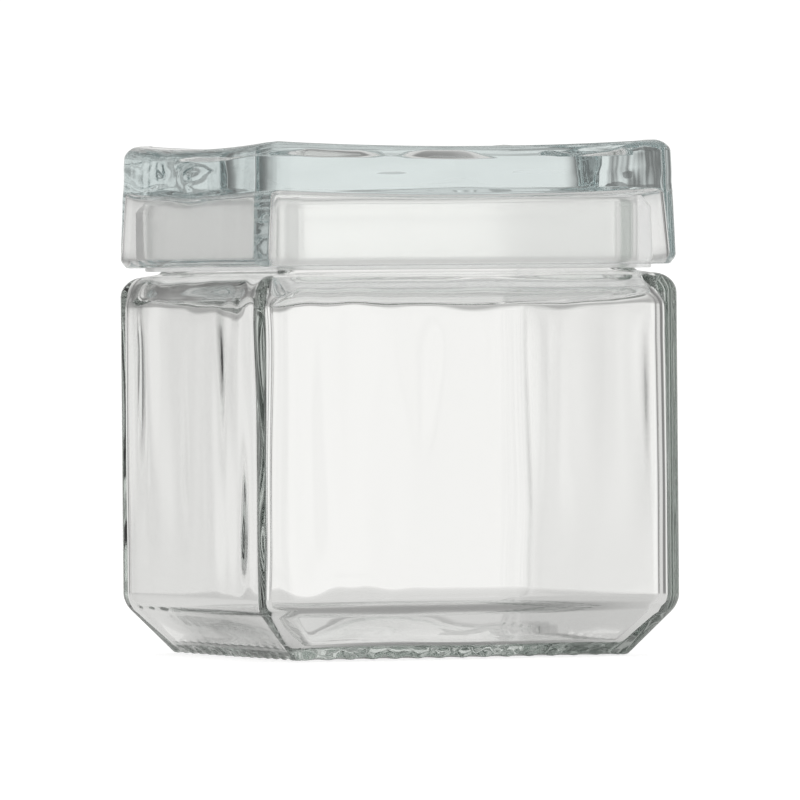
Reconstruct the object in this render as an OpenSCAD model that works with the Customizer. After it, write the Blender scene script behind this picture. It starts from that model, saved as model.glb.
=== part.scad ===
// Square glass canister with a loose stacking lid and a sealing collar inside the lid.
// Millimetres. Z is up, the origin is the middle of the underside, and the walls face X and Y.

/* [Jar] */
// Width of the body across two flat walls
body_w = 107; // [95:0.5:125]
// Height of the body's shoulder, where the neck starts
body_h = 92; // [70:0.5:120]
// Radius of the upright outside corners
corner_r = 7; // [6:0.5:10]
// Thickness of the glass walls
wall_t = 3.8; // [2.5:0.1:5]
// Thickness of the glass floor
floor_t = 4.5; // [3.5:0.5:9]
// Radius of the rounded edge of the shoulder
shoulder_r = 4.8; // [3:0.1:6]
// Slope of the shoulder from its edge up to the neck
shoulder_slope = 10; // [4:1:15]

/* [Base] */
// Width of the square face that the jar stands on
base_w = 85.4; // [76:0.2:90]
// Height of the slanted band between that face and the walls
slant_h = 12.2; // [8:0.1:16]
// Radius of the heel where the slanted band meets the table
heel_r = 1.5; // [0.5:0.1:2.5]
// Width of the ribbed bearing band round the underside
bearing_w = 8; // [5:0.5:12]
// Depth of the hollow inside the bearing band
hollow_depth = 1; // [0.4:0.1:1.5]
// Distance from one rib to the next
rib_pitch = 5.7; // [4:0.1:8]
// Depth of the grooves between the ribs
rib_depth = 0.45; // [0.2:0.05:0.6]

/* [Neck] */
// Width across two flat sides of the neck
neck_w = 90.4; // [84:0.2:92]
// Height of the neck above the shoulder
neck_h = 17; // [12:0.5:22]
// Thickness of the neck
neck_t = 3.8; // [2.5:0.1:5]
// Radius of the neck's upright outside corners
neck_corner_r = 5.2; // [5:0.1:8]

/* [Lid] */
// Width of the lid across its lower edge
lid_w = 107.4; // [100:0.1:120]
// Width that each side of the lid loses from its lower edge to its rim
lid_draft = 0.9; // [0.4:0.1:1.5]
// Gap between the shoulder and the lid's lower edge
lid_gap = 1.4; // [1:0.1:4]
// Height of the lid at its four corners
lid_h = 29.9; // [26:0.1:36]
// How far the rim dips between two corners
rim_dip = 1.3; // [0.5:0.1:2]
// Radius of the rounded outer edge of the rim
rim_r = 4.5; // [3:0.1:5]
// Thickness of the lid's skirt
skirt_t = 4.8; // [4:0.1:5.2]
// Radius of the upright corners inside the skirt
cavity_corner_r = 3; // [3:0.1:6]
// Radius of the rounded lower edge of the skirt
lid_foot_r = 2.2; // [1:0.1:2.4]
// Depth of the stacking recess at the lid's corners
recess_depth = 4.5; // [3.5:0.1:7]

/* [Gasket] */
// Thickness of the collar between the skirt and the neck
collar_t = 1.2; // [0.8:0.1:1.5]
// How far the collar hangs below the skirt
collar_drop = 0.9; // [0.2:0.1:1]
// Number of soft fins inside the collar
fin_count = 3; // [2:1:4]
// Thickness of each fin at its edge
fin_t = 0.7; // [0.5:0.1:1]
// Thickness of the flange that lies on the neck's rim
flange_t = 1.6; // [1:0.1:2.5]
// Room left between each fin and the neck
fin_clearance = 0.3; // [0.2:0.05:0.5]

/* [Hidden] */
$fn = 96;
glass = [0.86, 0.89, 0.87, 0.45];
milky = [0.93, 0.94, 0.93, 0.9];
// Overlap that joins two outlines, and the room round the collar inside the skirt
eps = 0.01;
fit_gap = 0.1;

half_body = body_w / 2;
half_base = base_w / 2;
half_neck = neck_w / 2;
core_neck = half_neck - neck_corner_r;
half_bore = half_neck - neck_t;
half_lid = lid_w / 2;
neck_top = body_h + neck_h;
neck_chamfer = 0.7;
slant_run = half_body - half_base;

lid_z = body_h + lid_gap;
lid_top = lid_z + lid_h;
ceiling_z = neck_top + flange_t;
recess_z = lid_top - recess_depth;
cavity_half = half_lid - skirt_t;
lid_corner_r = 8;
recess_half = half_base + 0.6;
recess_round = 1;
ceiling_r = 1.4;
lid_lean = atan(lid_draft / lid_h);
collar_half = cavity_half - fit_gap;
collar_r = cavity_corner_r - fit_gap;
collar_low = lid_z - collar_drop;
fin_half = half_neck + fin_clearance;
flange_half = half_bore - 1;
flange_corner_r = 2;

rib_count = 2 * floor((half_base - heel_r) / rib_pitch);
groove_len = 0.7 * bearing_w;
rib_half = 0.36 * rib_pitch;
groove_r = (rib_half * rib_half + rib_depth * rib_depth) / (2 * rib_depth);

// Sweeps a half outline round a square core whose corners turn through quarter circles
module around_square(core) {
    for (turn = [0:3])
        rotate([0, 0, 90 * turn]) translate([core, core, 0]) {
            rotate_extrude(angle = 90) children();
            rotate([90, 0, 0]) linear_extrude(height = 2 * core) children();
        }
}

// Solid block inside a swept outline
module core_block(core, z_low, z_high) {
    translate([-core, -core, z_low]) cube([2 * core, 2 * core, z_high - z_low]);
}

// Upright block with a square plan and rounded corners
module square_post(half, r, z_low, z_high) {
    core = half - r;
    translate([0, 0, z_low]) linear_extrude(height = z_high - z_low) union() {
        square([2 * half, 2 * core], center = true);
        square([2 * core, 2 * half], center = true);
        for (x = [-core, core], y = [-core, core]) translate([x, y]) circle(r);
    }
}

// Body block with a rounded shoulder that slopes up to the neck
module shoulder_block(half, r, z_low, z_top, edge_r) {
    core = half - r;
    arc_x = r - edge_r;
    end_x = arc_x + edge_r * sin(shoulder_slope);
    rise = (end_x + core - half_neck) * tan(shoulder_slope);
    end_z = z_top - rise;
    arc_z = end_z - edge_r * cos(shoulder_slope);
    inner_z = end_z + end_x * tan(shoulder_slope);
    around_square(core) union() {
        polygon([[0, z_low], [r, z_low], [r, arc_z], [end_x, end_z], [0, inner_z]]);
        intersection() {
            translate([arc_x, arc_z]) circle(edge_r);
            translate([0, z_low]) square([2 * r, z_top]);
        }
    }
    core_block(core, z_low, inner_z);
}

// Prism across the jar whose lower edges slant in to the base and end in a round heel
module slanted_prism(low_half, high_half, z_low, z_slant, z_top, round_r) {
    lean = atan((z_slant - z_low) / (high_half - low_half));
    heel_x = low_half - round_r * tan(lean / 2);
    length = 4 * high_half;
    rotate([90, 0, 0]) translate([0, 0, -length / 2]) linear_extrude(height = length) union() {
        polygon([
            [-heel_x, z_low], [heel_x, z_low],
            [heel_x + round_r * sin(lean), z_low + round_r * (1 - cos(lean))],
            [high_half, z_slant], [high_half + eps, z_slant + eps], [high_half + eps, z_top],
            [-high_half - eps, z_top], [-high_half - eps, z_slant + eps], [-high_half, z_slant],
            [-heel_x - round_r * sin(lean), z_low + round_r * (1 - cos(lean))]
        ]);
        for (x = [-heel_x, heel_x]) translate([x, z_low + round_r]) circle(round_r);
    }
}

// Hollow of the jar below its shoulder
module jar_hollow() {
    inner_half = half_body - wall_t;
    inner_low = half_base - wall_t;
    inner_slant = floor_t + slant_h * (inner_half - inner_low) / slant_run;
    intersection() {
        shoulder_block(inner_half, corner_r - wall_t / 2, floor_t, body_h - wall_t, shoulder_r);
        slanted_prism(inner_low, inner_half, floor_t, inner_slant, body_h, heel_r);
        rotate([0, 0, 90])
            slanted_prism(inner_low, inner_half, floor_t, inner_slant, body_h, heel_r);
    }
    square_post(half_bore, neck_corner_r - neck_t / 2, body_h / 2, neck_top + 1);
}

// Ring of shallow grooves that leaves ribs round the outer edge of the bearing band
module rib_grooves() {
    for (turn = [0:3], i = [0:rib_count - 1])
        rotate([0, 0, 90 * turn])
            translate([(i - (rib_count - 1) / 2) * rib_pitch, half_base + 1, rib_depth - groove_r])
                rotate([90, 0, 0]) cylinder(h = groove_len + 1, r = groove_r);
}

// Neck with a small bevel round its mouth
module neck() {
    around_square(core_neck) polygon([
        [0, body_h - shoulder_r], [neck_corner_r, body_h - shoulder_r],
        [neck_corner_r, neck_top - neck_chamfer], [neck_corner_r - neck_chamfer, neck_top],
        [0, neck_top]
    ]);
    core_block(core_neck, body_h - shoulder_r, neck_top);
}

module jar() {
    color(glass) difference() {
        union() {
            intersection() {
                shoulder_block(half_body, corner_r, 0, body_h, shoulder_r);
                slanted_prism(half_base, half_body, 0, slant_h, body_h + 1, heel_r);
                rotate([0, 0, 90])
                    slanted_prism(half_base, half_body, 0, slant_h, body_h + 1, heel_r);
            }
            neck();
        }
        jar_hollow();
        rib_grooves();
        square_post(half_base - bearing_w, corner_r, -1, hollow_depth);
    }
}

// Outer block of the lid: drafted sides, rounded rim and rounded lower edge
module lid_block() {
    core = half_lid - lid_corner_r;
    rim_z = lid_top - rim_r;
    rim_x = lid_corner_r - (rim_z - lid_z) * tan(lid_lean) - rim_r / cos(lid_lean);
    foot_z = lid_z + lid_foot_r;
    foot_x = lid_corner_r - lid_foot_r;
    around_square(core) union() {
        polygon([
            [0, lid_z], [foot_x, lid_z], [lid_corner_r, foot_z],
            [rim_x + rim_r * cos(lid_lean), rim_z + rim_r * sin(lid_lean)],
            [rim_x, lid_top], [0, lid_top]
        ]);
        translate([rim_x, rim_z]) intersection() {
            circle(rim_r);
            translate([0, -rim_r]) square(2 * rim_r);
        }
        translate([foot_x, foot_z]) circle(lid_foot_r);
    }
    core_block(core, lid_z, lid_top);
}

// Hollow under the lid, rounded where it meets the plate
module lid_cavity() {
    core = cavity_half - cavity_corner_r;
    around_square(core) union() {
        square([cavity_corner_r, ceiling_z - ceiling_r]);
        square([cavity_corner_r - ceiling_r, ceiling_z]);
        translate([cavity_corner_r - ceiling_r, ceiling_z - ceiling_r]) circle(ceiling_r);
    }
    core_block(core, 0, ceiling_z);
}

// Long arc that dips the rim between its corners, along both directions
module rim_dips() {
    dip_r = (half_lid * half_lid + rim_dip * rim_dip) / (2 * rim_dip);
    for (turn = [0, 90])
        rotate([90, 0, turn])
            translate([0, lid_top - rim_dip + dip_r, -lid_w])
                cylinder(h = 2 * lid_w, r = dip_r, $fn = 720);
}

module lid() {
    wall_half = recess_half + recess_depth * slant_run / slant_h;
    color(glass) difference() {
        lid_block();
        lid_cavity();
        intersection() {
            slanted_prism(recess_half, wall_half, recess_z, lid_top, lid_top + 1, recess_round);
            rotate([0, 0, 90])
                slanted_prism(recess_half, wall_half, recess_z, lid_top, lid_top + 1, recess_round);
        }
        rim_dips();
    }
}

// One soft fin round the inside of the collar, square to the neck
module fin(z) {
    difference() {
        square_post(collar_half - collar_t / 2, collar_r - collar_t / 2, z, z + fin_t);
        square_post(fin_half, fin_half - core_neck, z - 1, z + fin_t + 1);
    }
}

// Collar that lines the lid's hollow, with soft fins inside and a flange over the neck's rim
module gasket() {
    inner_half = collar_half - collar_t;
    root_half = half_neck + 2 * fin_clearance;
    step_z = ceiling_z - ceiling_r;
    fin_step = (neck_top - collar_low) / (fin_count + 1);
    color(milky) union() {
        difference() {
            union() {
                square_post(collar_half, collar_r, collar_low, step_z);
                square_post(collar_half - ceiling_r, collar_r - ceiling_r, collar_low, ceiling_z);
            }
            square_post(inner_half, inner_half - core_neck, collar_low - 1, neck_top - flange_t);
            square_post(root_half, root_half - core_neck, collar_low, neck_top);
            square_post(flange_half, flange_corner_r, collar_low, ceiling_z + 1);
        }
        for (i = [1:fin_count]) fin(collar_low + i * fin_step - fin_t);
    }
}

jar();
lid();
gasket();
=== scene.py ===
import math

import bmesh
import bpy
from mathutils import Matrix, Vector, noise


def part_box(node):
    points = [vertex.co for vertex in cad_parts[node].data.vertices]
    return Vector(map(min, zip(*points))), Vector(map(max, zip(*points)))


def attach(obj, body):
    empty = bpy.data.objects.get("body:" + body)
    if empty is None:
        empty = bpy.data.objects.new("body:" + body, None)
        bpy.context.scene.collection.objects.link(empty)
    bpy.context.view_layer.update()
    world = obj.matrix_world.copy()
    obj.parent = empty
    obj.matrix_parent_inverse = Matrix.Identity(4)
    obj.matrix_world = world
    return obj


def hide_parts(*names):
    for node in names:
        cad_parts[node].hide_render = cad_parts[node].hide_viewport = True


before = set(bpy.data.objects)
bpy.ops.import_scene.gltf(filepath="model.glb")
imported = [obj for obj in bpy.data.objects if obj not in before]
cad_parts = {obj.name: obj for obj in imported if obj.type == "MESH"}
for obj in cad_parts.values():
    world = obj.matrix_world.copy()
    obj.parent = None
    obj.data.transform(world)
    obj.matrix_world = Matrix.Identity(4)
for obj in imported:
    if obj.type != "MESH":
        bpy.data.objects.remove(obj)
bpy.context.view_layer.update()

MM = 0.001

# ---------------------------------------------------------------- sizes
# Sizes are in millimetres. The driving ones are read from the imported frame, and a "half" is half a width.
JAR_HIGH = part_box("jar")[1]
LID_LOW, LID_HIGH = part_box("lid")
GASKET_LOW, GASKET_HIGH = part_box("gasket")

BODY_HALF = JAR_HIGH[0] / MM
LID_HALF = LID_HIGH[0] / MM
COLLAR_HALF = GASKET_HIGH[0] / MM
NECK_TOP = JAR_HIGH[2] / MM
SKIRT_LOW = LID_LOW[2] / MM
RIM_TOP = LID_HIGH[2] / MM
COLLAR_LOW = GASKET_LOW[2] / MM

# Jar
LID_GAP = 1.4
SHOULDER_Z = SKIRT_LOW - LID_GAP
SHOULDER_DROP = 1.46
BASE_HALF = 42.7
NECK_HALF = 45.2
WALL = 3.8
FLOOR = 4.1
SLANT_H = 12.2
HOLLOW = 1.0
HOLLOW_HALF = 24
BEARING_HALF = 35.5
RIB_HALF = 36.5
RIB_PITCH = 5.7
RIB_DEPTH = 0.45
BODY_CORNER = 7.0
NECK_CORNER = 5.2
BORE_CORNER = 3.6
INSIDE_CORNER = 4.4

# Lid
LID_CORNER = 8
LID_LEAN = 0.9
RIM_DIP = 1.35
RECESS_Z = RIM_TOP - 3.9
RECESS_HALF = 43.6
RECESS_RUN = 3.7
DISH = 0.8
CEILING = GASKET_HIGH[2] / MM + 0.9
CEILING_ROUND = 1.4
PLATE_SAG = 1.3
CAVITY_HALF = 48.9
CAVITY_FLARE = 1.5
CAVITY_CORNER = 1.9

# Collar
COLLAR_CLEARANCE = 0.35
FLANGE_HALF = 41.8

# Mesh density: points on each corner arc and each side of a ring, steps on each fillet of an outline,
# and the longest step on its straight stretches
RING_CORNER = 20
RING_SIDE = 84
ARC_STEPS = 9
STEP = 2.5

# ---------------------------------------------------------------- looks
VIEW_TURN = -20.9
GLASS_IOR = 1.52
WARM_WHITE = (1.0, 0.995, 0.978, 1)
WHITE = (1, 1, 1, 1)

# Upright panels of the light tent: middle, half width and softness in degrees, then level
PANELS = (
    (VIEW_TURN, 27, 13, 0.73),
    (38, 14, 7, 0.76),
    (90, 14, 4, 0.76),
    (135, 10, 4, 0.4),
    (204, 28, 6, 0.80),
    (270, 12, 4, 0.5),
)


# ---------------------------------------------------------------- geometry
def corner_path(vertices):
    """Rounds the vertices of a half outline.

    Each vertex is (half width, height, plan corner radius, fillet radius), and each point
    that comes back is (half width, height, plan corner radius).
    """
    points = [vertices[0][:3]]
    for before, here, after in zip(vertices, vertices[1:], vertices[2:]):
        corner, a, b = (Vector(v[:2]) for v in (here, before, after))
        to_a, to_b = (a - corner).normalized(), (b - corner).normalized()
        half_turn = to_a.angle(to_b) / 2
        fillet = here[3]
        cut = fillet / math.tan(half_turn)
        start, end = corner + to_a * cut, corner + to_b * cut
        centre = corner + (to_a + to_b).normalized() * (fillet / math.sin(half_turn))
        from_angle = math.atan2(start.y - centre.y, start.x - centre.x)
        to_angle = math.atan2(end.y - centre.y, end.x - centre.x)
        turn = (to_angle - from_angle + math.pi) % (2 * math.pi) - math.pi
        share_a, share_b = cut / (a - corner).length, cut / (b - corner).length
        for i in range(ARC_STEPS + 1):
            t = i / ARC_STEPS
            angle = from_angle + turn * t
            lean = before[2] if t < 0.5 else after[2]
            share = share_a * (1 - 2 * t) if t < 0.5 else share_b * (2 * t - 1)
            radius = here[2] + (lean - here[2]) * share
            points.append((centre.x + fillet * math.cos(angle), centre.y + fillet * math.sin(angle), radius))
    points.append(vertices[-1][:3])
    return divided(points)


def divided(points):
    """Adds points along the long straight stretches of an outline."""
    result = [points[0]]
    for a, b in zip(points, points[1:]):
        count = max(1, math.ceil(math.dist(a[:2], b[:2]) / STEP))
        for i in range(1, count + 1):
            result.append(tuple(x + (y - x) * i / count for x, y in zip(a, b)))
    return result


def square_ring(half, radius):
    """Plan points of a square with round corners, counter-clockwise from the +X side's foot."""
    radius = min(max(radius, 0.02 * half), half)
    core = half - radius
    points = []
    for quarter in range(4):
        turn = quarter * math.pi / 2
        c, s = math.cos(turn), math.sin(turn)
        local = [(half, -core + 2 * core * i / RING_SIDE) for i in range(RING_SIDE)]
        for i in range(RING_CORNER):
            angle = i / RING_CORNER * math.pi / 2
            local.append((core + radius * math.cos(angle), core + radius * math.sin(angle)))
        points += [(x * c - y * s, x * s + y * c) for x, y in local]
    return points


def linked_object(name, mesh):
    """Turns a bmesh into an object in the scene, and frees the bmesh."""
    data = bpy.data.meshes.new(name)
    mesh.to_mesh(data)
    mesh.free()
    piece = bpy.data.objects.new(name, data)
    bpy.context.scene.collection.objects.link(piece)
    return piece


def lofted(name, outline, shape=None, closed=False):
    """Sweeps an outline round the square plan and returns a mesh object.

    An open outline starts and ends on the axis. shape(x, y, z, ring) may move each point.
    """
    mesh = bmesh.new()
    rings = []
    for index, (half, z, radius) in enumerate(outline):
        ring = []
        for x, y in square_ring(half, radius) if half > 0 else [(0.0, 0.0)]:
            x2, y2, z2 = shape(x, y, z, index) if shape else (x, y, z)
            ring.append(mesh.verts.new((x2 * MM, y2 * MM, z2 * MM)))
        rings.append(ring)
    pairs = list(zip(rings, rings[1:]))
    if closed:
        pairs.append((rings[-1], rings[0]))
    for a, b in pairs:
        count = max(len(a), len(b))
        for i in range(count):
            j = (i + 1) % count
            if len(a) == 1:
                mesh.faces.new((a[0], b[j], b[i]))
            elif len(b) == 1:
                mesh.faces.new((a[i], a[j], b[0]))
            else:
                mesh.faces.new((a[i], a[j], b[j], b[i]))
    bmesh.ops.recalc_face_normals(mesh, faces=mesh.faces)
    for face in mesh.faces:
        face.smooth = True
    return linked_object(name, mesh)


def smooth_step(low, high, value):
    t = min(max((value - low) / (high - low), 0), 1)
    return t * t * (3 - 2 * t)


def reach(x, y):
    """Half the width of the square round the axis that passes through this point."""
    return max(abs(x), abs(y))


def side_sag(x, y):
    """1 in the middle of a side, falling to 0 at its corners."""
    near, far = sorted((abs(x), abs(y)))
    return 1 - (near / max(far, 1e-6)) ** 2


def ripple(x, y, z, across, along, seed):
    """Slow ripple of moulded glass, between -1 and 1. Its grain is `across` wide and `along` high."""
    return noise.noise(Vector((x / across + seed, y / across - seed, z / along)))


# ---------------------------------------------------------------- jar
def jar_outline():
    return corner_path([
        (0, HOLLOW, 8),
        (HOLLOW_HALF, HOLLOW, 10, 12),
        (BEARING_HALF, 0.0, 6, 1.5),
        (BASE_HALF, 0.0, 2.0, 1.2),
        (BODY_HALF, SLANT_H, BODY_CORNER, 6.5),
        (BODY_HALF, SHOULDER_Z - SHOULDER_DROP, BODY_CORNER, 4.8),
        (NECK_HALF, SHOULDER_Z, NECK_CORNER, 1.3),
        (NECK_HALF, NECK_TOP, NECK_CORNER, 1.2),
        (NECK_HALF - WALL, NECK_TOP, BORE_CORNER, 1.2),
        (NECK_HALF - WALL, SHOULDER_Z - 2.2, BORE_CORNER, 3.0),
        (BODY_HALF - WALL, SHOULDER_Z - 4.5, INSIDE_CORNER, 5.0),
        (BODY_HALF - WALL, SLANT_H + 1.4, INSIDE_CORNER, 3.0),
        (BASE_HALF - 1.4, FLOOR, 3.4, 2.2),
        (20, FLOOR + 0.3, 8, 10),
        (0, FLOOR + 0.4, 8),
    ])


def rib_lift(x, y, z):
    """Height of the scalloped grooves that cross the outer edge of the underside."""
    across = y if abs(x) > abs(y) else x
    if z >= 4 or abs(across) >= BASE_HALF - 1.5:
        return 0.0
    phase = (across / RIB_PITCH) % 1.0
    depth = RIB_DEPTH * math.sin(math.pi * phase) ** 2
    return depth * smooth_step(RIB_HALF, RIB_HALF + 1.3, reach(x, y)) * (1 - smooth_step(0.2, 2.2, z))


def jar_outside(x, y, z):
    """Shift outwards and upwards of a point on the outside of the jar."""
    walls = smooth_step(12, 20, z) * (1 - smooth_step(80, 86, z))
    push = 0.05 * ripple(x, y, z, 30, 70, 4.2) * walls
    ledge = smooth_step(86, 88, z) * smooth_step(NECK_HALF + 1, NECK_HALF + 3, reach(x, y))
    lift = rib_lift(x, y, z) + ledge * (0.25 * ripple(x, y, 0, 17, 17, 6.6) - 0.05)
    return push, lift


def jar_inside(x, y, z):
    """Shift outwards and upwards of a point on the inside of the jar, where the glass flowed freely."""
    walls = smooth_step(20, 44, z) * (1 - smooth_step(74, 88, z))
    push = walls * (0.6 * ripple(x, y, z, 24, 120, 1.7) + 0.1 * ripple(x, y, z, 9, 90, 7.3))
    shoulder = smooth_step(80, 86, z) * (1 - smooth_step(90, 93, z))
    push += shoulder * 0.5 * ripple(x, y, z, 20, 14, 5.2)
    near_corner = smooth_step(6, 34, min(abs(x), abs(y)))
    push += walls * near_corner * 0.6 * ripple(x, y, z, 12, 70, 2.9)
    # Glass gathered in the upright corner at -X, -Y.
    gathered = smooth_step(56, 92, -x - y) * smooth_step(14, 30, z) * (1 - smooth_step(80, 90, z))
    push += gathered * (1.15 * ripple(x, y, z, 9, 55, 9.4) - 0.25)
    low = 1 - smooth_step(FLOOR + 2, FLOOR + 9, z)
    bank = 0.5 * side_sag(x, y) * smooth_step(20, 38, reach(x, y))
    return push, low * (0.6 * ripple(x, y, 0, 38, 38, 3.1) + bank)


def make_jar():
    outline = jar_outline()
    turn_over = next(i for i, point in enumerate(outline) if point[1] >= NECK_TOP - 1e-6)
    inside_from = turn_over + ARC_STEPS

    def shape(x, y, z, ring):
        push, lift = jar_inside(x, y, z) if ring >= inside_from else jar_outside(x, y, z)
        scale = 1 + push / max(reach(x, y), 1e-6)
        return x * scale, y * scale, z + lift

    return lofted("jar_glass", outline, shape)


# ---------------------------------------------------------------- lid
def lid_outline():
    return corner_path([
        (0, RECESS_Z + 0.2, 4),
        (RECESS_HALF, RECESS_Z, 4, 1.6),
        (RECESS_HALF + RECESS_RUN, RIM_TOP, 6, 1.6),
        (LID_HALF - LID_LEAN, RIM_TOP, LID_CORNER, 3.0),
        (LID_HALF, SKIRT_LOW, LID_CORNER, 2.4),
        (CAVITY_HALF + CAVITY_FLARE, SKIRT_LOW, CAVITY_CORNER + 0.6, 0.9),
        (CAVITY_HALF, CEILING, CAVITY_CORNER, CEILING_ROUND),
        (0, CEILING - 0.4, 8),
    ])


def lid_shape(x, y, z, ring):
    """Moves a point of the lid: waves round the plate's edge, dipped rim, dished recess, sagging ceiling."""
    far = reach(x, y)
    sag = side_sag(x, y)
    if far > CAVITY_HALF + 1.6 and z > CEILING - 4:
        wave = (0.25 + 0.3 * sag) * ripple(x, y, z, 20, 5, 6.1) + 0.07 * ripple(x, y, z, 3.5, 14, 7.7)
        push = 1 + wave * smooth_step(CEILING - 4, CEILING + 1, z) / far
        x, y = x * push, y * push
    if z > RIM_TOP - 6:
        z -= RIM_DIP * sag * smooth_step(38, 47, far)
        recess = 1 - smooth_step(RECESS_Z, RECESS_Z + 3, z)
        z -= recess * DISH * (1 - smooth_step(0, 44, far))
        z += recess * (0.25 * ripple(x, y, 0, 24, 24, 5.5) + 0.09 * ripple(x, y, 0, 8, 8, 2.2))
    elif far < CAVITY_HALF + 1.1 and z > CEILING - 5:
        z -= PLATE_SAG * sag * smooth_step(34, 46, far) * smooth_step(CEILING - 5, CEILING - 1, z)
        middle = 1 - smooth_step(40, 47, far)
        z += middle * (0.3 * ripple(x, y, 0, 22, 22, 8.1) + 0.3)
    return x, y, z


def make_lid():
    return lofted("lid_glass", lid_outline(), lid_shape)


# ---------------------------------------------------------------- gasket
def gasket_outline():
    outer = COLLAR_HALF - 1.0
    inner = NECK_HALF + COLLAR_CLEARANCE
    top = CEILING - COLLAR_CLEARANCE - PLATE_SAG
    flange_low = NECK_TOP + 0.1
    foot = [(inner, COLLAR_LOW + 0.2, 5.6), (inner + 0.3, COLLAR_LOW, 4), (outer - 0.3, COLLAR_LOW, 2.2)]
    side = [(outer, COLLAR_LOW + 0.3, 2.4), (outer - 0.5, CEILING - 4.5, 2.2), (outer - 2.2, top, 2.0)]
    flange = [(FLANGE_HALF, top, 2), (FLANGE_HALF, flange_low, 2), (inner, flange_low, 5.4)]
    return divided(foot + side + flange + foot[:1])[:-1]


def make_gasket():
    return lofted("gasket_collar", gasket_outline(), closed=True)


# ---------------------------------------------------------------- materials
def new_material(name):
    material = bpy.data.materials.new(name)
    material.use_nodes = True
    nodes = material.node_tree.nodes
    return material, nodes, material.node_tree.links, nodes["Principled BSDF"]


def soft_ramp(tree, value, low, high, to_low=0.0, to_high=1.0):
    """Adds a Map Range node with soft ends, and returns its result."""
    node = tree.nodes.new("ShaderNodeMapRange")
    node.interpolation_type = "SMOOTHSTEP"
    for socket, number in zip(("From Min", "From Max", "To Min", "To Max"), (low, high, to_low, to_high)):
        node.inputs[socket].default_value = number
    tree.links.new(value, node.inputs["Value"])
    return node.outputs["Result"]


def glass_material(name, tint, density, bump_size, bump_strength):
    """Clear soda-lime glass: slight green in its depth, faint ripples of the mould on its skin."""
    material, nodes, links, shader = new_material(name)
    shader.inputs["Base Color"].default_value = WHITE
    shader.inputs["Transmission Weight"].default_value = 1.0
    shader.inputs["IOR"].default_value = GLASS_IOR
    place = nodes.new("ShaderNodeTexCoord")
    stretch = nodes.new("ShaderNodeMapping")
    stretch.inputs["Scale"].default_value = (1.0, 1.0, 0.35)
    ripples = nodes.new("ShaderNodeTexNoise")
    ripples.inputs["Scale"].default_value = bump_size
    ripples.inputs["Detail"].default_value = 2.0
    bump = nodes.new("ShaderNodeBump")
    bump.inputs["Strength"].default_value = bump_strength
    bump.inputs["Distance"].default_value = 0.5 * MM
    smear = nodes.new("ShaderNodeMapRange")
    smear.inputs["To Min"].default_value = 0.0
    smear.inputs["To Max"].default_value = 0.02
    links.new(place.outputs["Object"], stretch.inputs["Vector"])
    links.new(stretch.outputs["Vector"], ripples.inputs["Vector"])
    links.new(ripples.outputs["Fac"], bump.inputs["Height"])
    links.new(ripples.outputs["Fac"], smear.inputs["Value"])
    links.new(smear.outputs["Result"], shader.inputs["Roughness"])
    links.new(bump.outputs["Normal"], shader.inputs["Normal"])
    depth = nodes.new("ShaderNodeVolumeAbsorption")
    depth.inputs["Color"].default_value = tint
    depth.inputs["Density"].default_value = density
    links.new(depth.outputs["Volume"], nodes["Material Output"].inputs["Volume"])
    return material


def jar_material():
    return glass_material("jar_glass", (0.55, 0.62, 0.58, 1), density=9.0, bump_size=40.0, bump_strength=0.1)


def lid_material():
    return glass_material("lid_glass", (0.40, 0.58, 0.59, 1), density=4.5, bump_size=50.0, bump_strength=0.15)


def gasket_material():
    """Milky polythene: light passes through it, and a faint painted glow (emission) stands in for the light
    it scatters, keeping it evenly bright.
    """
    material, nodes, links, shader = new_material("milky_polythene")
    place = nodes.new("ShaderNodeTexCoord")
    cloud = nodes.new("ShaderNodeTexNoise")
    cloud.inputs["Scale"].default_value = 60.0
    cloud.inputs["Detail"].default_value = 3.0
    tone = nodes.new("ShaderNodeValToRGB")
    tone.color_ramp.elements[0].color = (0.90, 0.905, 0.895, 1)
    tone.color_ramp.elements[1].color = (0.93, 0.935, 0.925, 1)
    shader.inputs["Roughness"].default_value = 0.3
    shader.inputs["Transmission Weight"].default_value = 1.0
    shader.inputs["IOR"].default_value = 1.3
    # Painted glow: this emission stands in for light scattered inside the milky plastic; the collar is no
    # lamp.
    shader.inputs["Emission Color"].default_value = WHITE
    shader.inputs["Emission Strength"].default_value = 0.085
    links.new(place.outputs["Object"], cloud.inputs["Vector"])
    links.new(cloud.outputs["Fac"], tone.inputs["Fac"])
    links.new(tone.outputs["Color"], shader.inputs["Base Color"])
    return material


# ---------------------------------------------------------------- camera, floor and light
def make_camera():
    """A long lens from far away, nearly level with the gap under the lid."""
    turn = math.radians(VIEW_TURN)
    distance = 3.08
    height = 0.0894
    aim = 0.0611
    roll = math.radians(-0.5)
    data = bpy.data.cameras.new("camera")
    data.sensor_width = 36
    data.lens = 575
    data.clip_end = 50
    data.shift_x = 0.0036
    camera = bpy.data.objects.new("camera", data)
    bpy.context.scene.collection.objects.link(camera)
    camera.location = (math.sin(turn) * distance, -math.cos(turn) * distance, height)
    look = Vector((0, 0, aim)) - camera.location
    camera.rotation_euler = look.to_track_quat("-Z", "Y").to_euler()
    camera.rotation_euler.rotate_axis("Z", roll)
    bpy.context.scene.camera = camera


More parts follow.
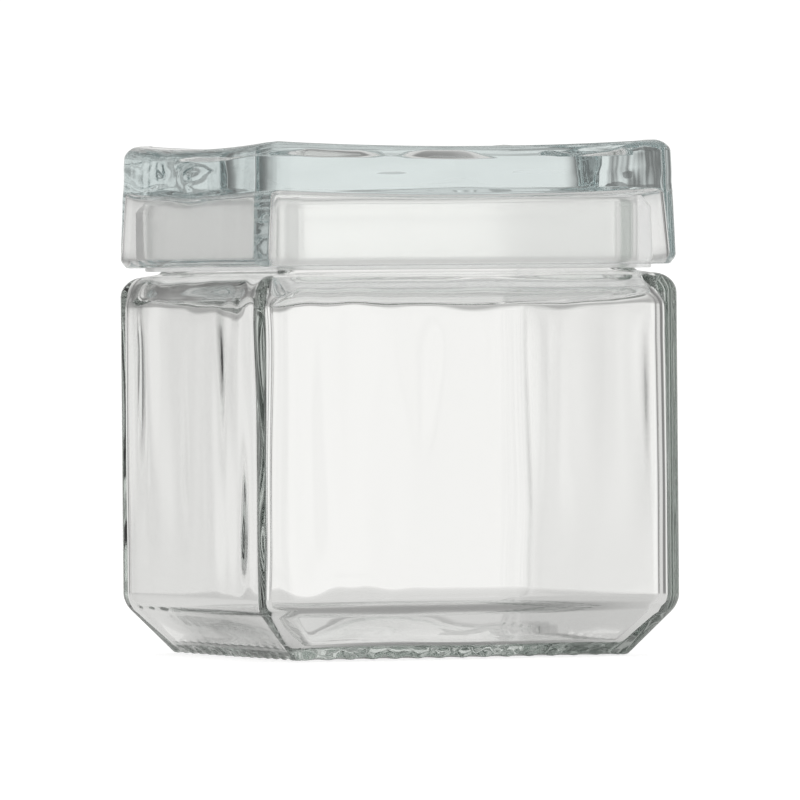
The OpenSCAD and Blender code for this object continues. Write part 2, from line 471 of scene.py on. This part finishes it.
def floor_material():
    """White to the camera. Seen through glass, it is a glowing sheet with a painted shadow under the jar, and
    fades out further off.
    """
    material, nodes, links, shader = new_material("pale_floor")
    shader.inputs["Base Color"].default_value = (0.8, 0.8, 0.8, 1)
    shader.inputs["Roughness"].default_value = 0.8
    shader.inputs["Specular IOR Level"].default_value = 0.0
    shader.inputs["Emission Color"].default_value = WHITE
    shader.inputs["Emission Strength"].default_value = 0.75
    place = nodes.new("ShaderNodeTexCoord")
    from_jar = nodes.new("ShaderNodeVectorMath")
    from_jar.operation = "LENGTH"
    links.new(place.outputs["Object"], from_jar.inputs[0])
    distance = from_jar.outputs["Value"]
    # Painted shadow: the glow seen through glass is dimmed near the jar's foot, standing in for its contact
    # shadow.
    shade = soft_ramp(material.node_tree, distance, 0.034, 0.074, 0.24, 0.70)
    fade = soft_ramp(material.node_tree, distance, 0.10, 0.45)
    shaded = nodes.new("ShaderNodeEmission")
    shaded.inputs["Color"].default_value = WARM_WHITE
    clear = nodes.new("ShaderNodeBsdfTransparent")
    through_glass = nodes.new("ShaderNodeMixShader")
    path = nodes.new("ShaderNodeLightPath")
    mix = nodes.new("ShaderNodeMixShader")
    links.new(shade, shaded.inputs["Strength"])
    links.new(fade, through_glass.inputs["Fac"])
    links.new(shaded.outputs[0], through_glass.inputs[1])
    links.new(clear.outputs[0], through_glass.inputs[2])
    links.new(path.outputs["Is Camera Ray"], mix.inputs["Fac"])
    links.new(through_glass.outputs[0], mix.inputs[1])
    links.new(shader.outputs[0], mix.inputs[2])
    links.new(mix.outputs[0], nodes["Material Output"].inputs["Surface"])
    return material


def make_floor():
    mesh = bmesh.new()
    bmesh.ops.create_circle(mesh, cap_ends=True, segments=96, radius=0.9)
    floor = linked_object("floor", mesh)
    floor.data.materials.append(floor_material())
    floor.location.z = -0.3 * MM


def make_studio():
    """A light tent: white panels stand round the object with darker gaps between them."""
    world = bpy.data.worlds.new("studio")
    bpy.context.scene.world = world
    world.use_nodes = True
    tree = world.node_tree
    nodes, links = tree.nodes, tree.links
    nodes.clear()

    def math_node(kind, *values):
        node = nodes.new("ShaderNodeMath")
        node.operation = kind
        for socket, value in zip(node.inputs, values):
            if isinstance(value, (int, float)):
                socket.default_value = value
            else:
                links.new(value, socket)
        return node.outputs[0]

    place = nodes.new("ShaderNodeTexCoord")
    split = nodes.new("ShaderNodeSeparateXYZ")
    links.new(place.outputs["Generated"], split.inputs[0])
    up = split.outputs["Z"]
    turn = math_node("ARCTAN2", math_node("MULTIPLY", split.outputs["X"], -1.0), split.outputs["Y"])

    panels = 0.0
    for middle, half_width, soft, level in PANELS:
        off_middle = math_node("SUBTRACT", turn, math.radians(middle))
        apart = math_node("ABSOLUTE", math_node("WRAP", off_middle, math.pi, -math.pi))
        inner, outer = math.radians(half_width - soft), math.radians(half_width + soft)
        panels = math_node("MULTIPLY_ADD", soft_ramp(tree, apart, inner, outer, 1.0, 0.0), level, panels)

    # The panels are dimmer away from eye level, most of all above it, and a weak light hangs overhead.
    off_level = math_node("MAXIMUM", up, math_node("MULTIPLY", up, -0.25))
    light = math_node("MULTIPLY_ADD", panels, soft_ramp(tree, off_level, 0.04, 0.25, 1.0, 0.35), 0.20)
    light = math_node("MULTIPLY_ADD", soft_ramp(tree, up, 0.45, 0.75), 0.25, light)

    tent = nodes.new("ShaderNodeBackground")
    tent.inputs["Color"].default_value = WARM_WHITE
    links.new(light, tent.inputs["Strength"])
    backdrop = nodes.new("ShaderNodeBackground")
    backdrop.inputs["Color"].default_value = WHITE
    backdrop.inputs["Strength"].default_value = 1.1
    path = nodes.new("ShaderNodeLightPath")
    mix = nodes.new("ShaderNodeMixShader")
    links.new(path.outputs["Is Camera Ray"], mix.inputs["Fac"])
    links.new(tent.outputs[0], mix.inputs[1])
    links.new(backdrop.outputs[0], mix.inputs[2])
    output = nodes.new("ShaderNodeOutputWorld")
    links.new(mix.outputs[0], output.inputs["Surface"])


def let_light_through():
    """Keeps whites as they are, and lets light bounce often enough inside the glass."""
    bounces = 32
    scene = bpy.context.scene
    scene.view_settings.view_transform = "Standard"
    scene.cycles.max_bounces = bounces
    scene.cycles.transmission_bounces = bounces
    scene.cycles.glossy_bounces = bounces


# ---------------------------------------------------------------- assembly
def place(piece, body, node, slot, material):
    piece.data.materials.append(material)
    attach(piece, body)
    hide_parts(node)


make_camera()
make_floor()
make_studio()
let_light_through()

place(make_jar(), "jar_body", "jar", "jar_glass", jar_material())
place(make_lid(), "lid_body", "lid", "lid_glass", lid_material())
place(make_gasket(), "lid_body", "gasket", "gasket_polymer", gasket_material())
